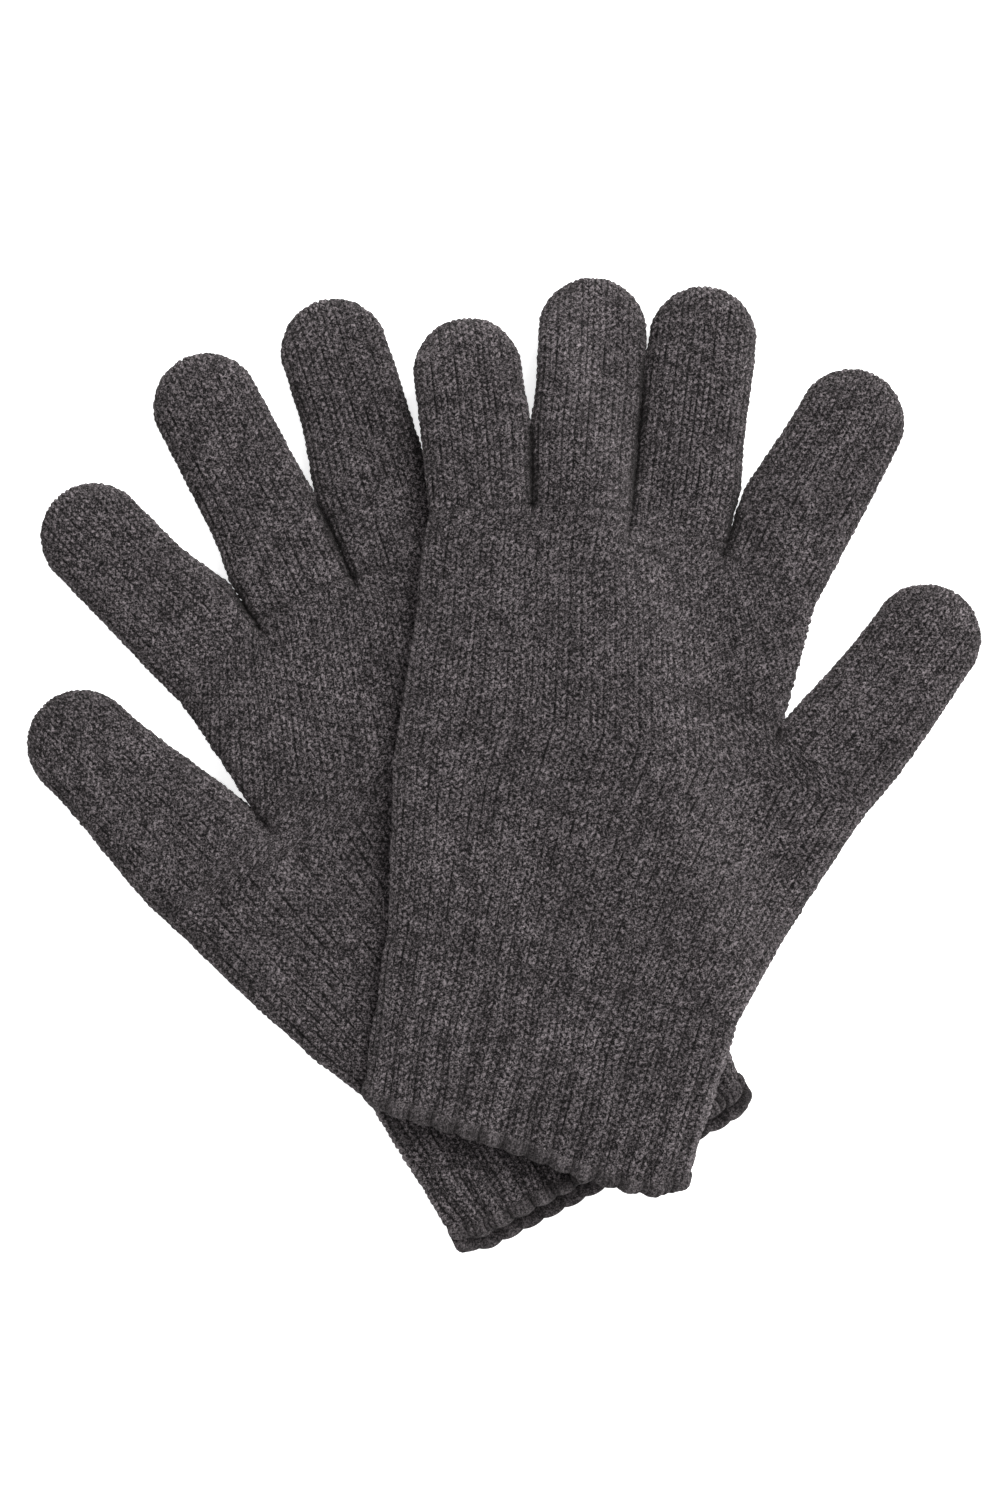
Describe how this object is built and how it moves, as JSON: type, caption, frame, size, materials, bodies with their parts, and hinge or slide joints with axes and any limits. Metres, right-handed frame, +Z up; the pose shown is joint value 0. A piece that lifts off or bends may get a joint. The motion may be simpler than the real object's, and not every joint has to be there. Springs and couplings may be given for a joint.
{
  "type": "pair of knitted gloves",
  "caption": "Pair of plain knitted five-finger wool gloves with ribbed cuffs, lying flat, the left one across the right one.",
  "frame": {"origin": "on the table under the middle of the pair's footprint", "axes": "+Z up from the table, +Y away from the cuffs towards the fingertips, +X to the side of the left glove's thumb"},
  "size_m": [0.2562, 0.2614, 0.0188],
  "materials": {
    "wool_knit": "plain knitted wool, charcoal melange, slightly fuzzy",
    "wool_rib": "one-by-one rib in the same charcoal melange wool",
    "hem_yarn": "overlocked hem in matching yarn",
    "elastic_yarn": "covered elastic thread",
    "closing_yarn": "matching wool yarn, one strand"
  },
  "bodies": {
    "right_glove": {"right_hand": "wool_knit", "right_cuff": "wool_rib", "right_welt": "hem_yarn", "right_cuff_elastic": "elastic_yarn", "right_crotch_tacks": "closing_yarn"},
    "left_glove": {"left_hand": "wool_knit", "left_crotch_tacks": "closing_yarn"},
    "left_turned_cuff": {"left_cuff": "wool_rib", "left_welt": "hem_yarn", "left_cuff_elastic": "elastic_yarn"},
    "left_thumb_tube": {"left_thumb": "wool_knit", "left_thumb_tip_yarn": "closing_yarn"},
    "left_index_tube": {"left_index": "wool_knit", "left_index_tip_yarn": "closing_yarn"},
    "left_middle_tube": {"left_middle": "wool_knit", "left_middle_tip_yarn": "closing_yarn"},
    "left_ring_tube": {"left_ring": "wool_knit", "left_ring_tip_yarn": "closing_yarn"},
    "left_little_tube": {"left_little": "wool_knit", "left_little_tip_yarn": "closing_yarn"},
    "right_thumb_tube": {"right_thumb": "wool_knit", "right_thumb_tip_yarn": "closing_yarn"},
    "right_index_tube": {"right_index": "wool_knit", "right_index_tip_yarn": "closing_yarn"},
    "right_middle_tube": {"right_middle": "wool_knit", "right_middle_tip_yarn": "closing_yarn"},
    "right_ring_tube": {"right_ring": "wool_knit", "right_ring_tip_yarn": "closing_yarn"},
    "right_little_tube": {"right_little": "wool_knit", "right_little_tip_yarn": "closing_yarn"}
  },
  "joints": [
    {"name": "left_glove_lift", "type": "slide", "parent": "right_glove", "child": "left_glove", "axis": [0, 0, 1], "range_m": [0, 0.12]},
    {"name": "left_thumb_fold", "type": "hinge", "parent": "left_glove", "child": "left_thumb_tube", "pos_m": [0.08575, -0.00116, 0.009], "axis": [0.7431, -0.6691, 0], "range_deg": [0, 80]},
    {"name": "left_index_fold", "type": "hinge", "parent": "left_glove", "child": "left_index_tube", "pos_m": [0.07103, 0.05043, 0.009], "axis": [0.8829, -0.4695, 0], "range_deg": [0, 80]},
    {"name": "left_middle_fold", "type": "hinge", "parent": "left_glove", "child": "left_middle_tube", "pos_m": [0.04615, 0.06228, 0.01459], "axis": [0.9877, -0.1564, 0], "range_deg": [0, 80]},
    {"name": "left_ring_fold", "type": "hinge", "parent": "left_glove", "child": "left_ring_tube", "pos_m": [0.02004, 0.06927, 0.0188], "axis": [0.9976, -0.0698, 0], "range_deg": [0, 80]},
    {"name": "left_little_fold", "type": "hinge", "parent": "left_glove", "child": "left_little_tube", "pos_m": [-0.00693, 0.06924, 0.0188], "axis": [0.9962, 0.0872, 0], "range_deg": [0, 80]},
    {"name": "left_cuff_turn_back", "type": "hinge", "parent": "left_glove", "child": "left_turned_cuff", "pos_m": [0.01709, -0.05789, 0.0188], "axis": [-0.9659, 0.2588, 0], "range_deg": [0, 80]},
    {"name": "right_thumb_fold", "type": "hinge", "parent": "right_glove", "child": "right_thumb_tube", "pos_m": [-0.07978, -0.02821, 0.009], "axis": [0.6884, 0.7254, 0], "range_deg": [0, 80]},
    {"name": "right_index_fold", "type": "hinge", "parent": "right_glove", "child": "right_index_tube", "pos_m": [-0.07845, 0.02773, 0.009], "axis": [0.7133, 0.7009, 0], "range_deg": [0, 80]},
    {"name": "right_middle_fold", "type": "hinge", "parent": "right_glove", "child": "right_middle_tube", "pos_m": [-0.0554, 0.04538, 0.009], "axis": [0.9026, 0.4305, 0], "range_deg": [0, 80]},
    {"name": "right_ring_shift", "type": "hinge", "parent": "right_glove", "child": "right_ring_tube", "pos_m": [-0.02858, 0.05449, 0], "axis": [0, 0, -1], "range_deg": [0, 4]},
    {"name": "right_little_shift", "type": "hinge", "parent": "right_glove", "child": "right_little_tube", "pos_m": [-0.00137, 0.05852, 0], "axis": [0, 0, -1], "range_deg": [0, 4]}
  ],
  "couplings": [
    {"joint": "right_little_shift", "follows": "right_ring_shift", "ratio": 1}
  ]
}
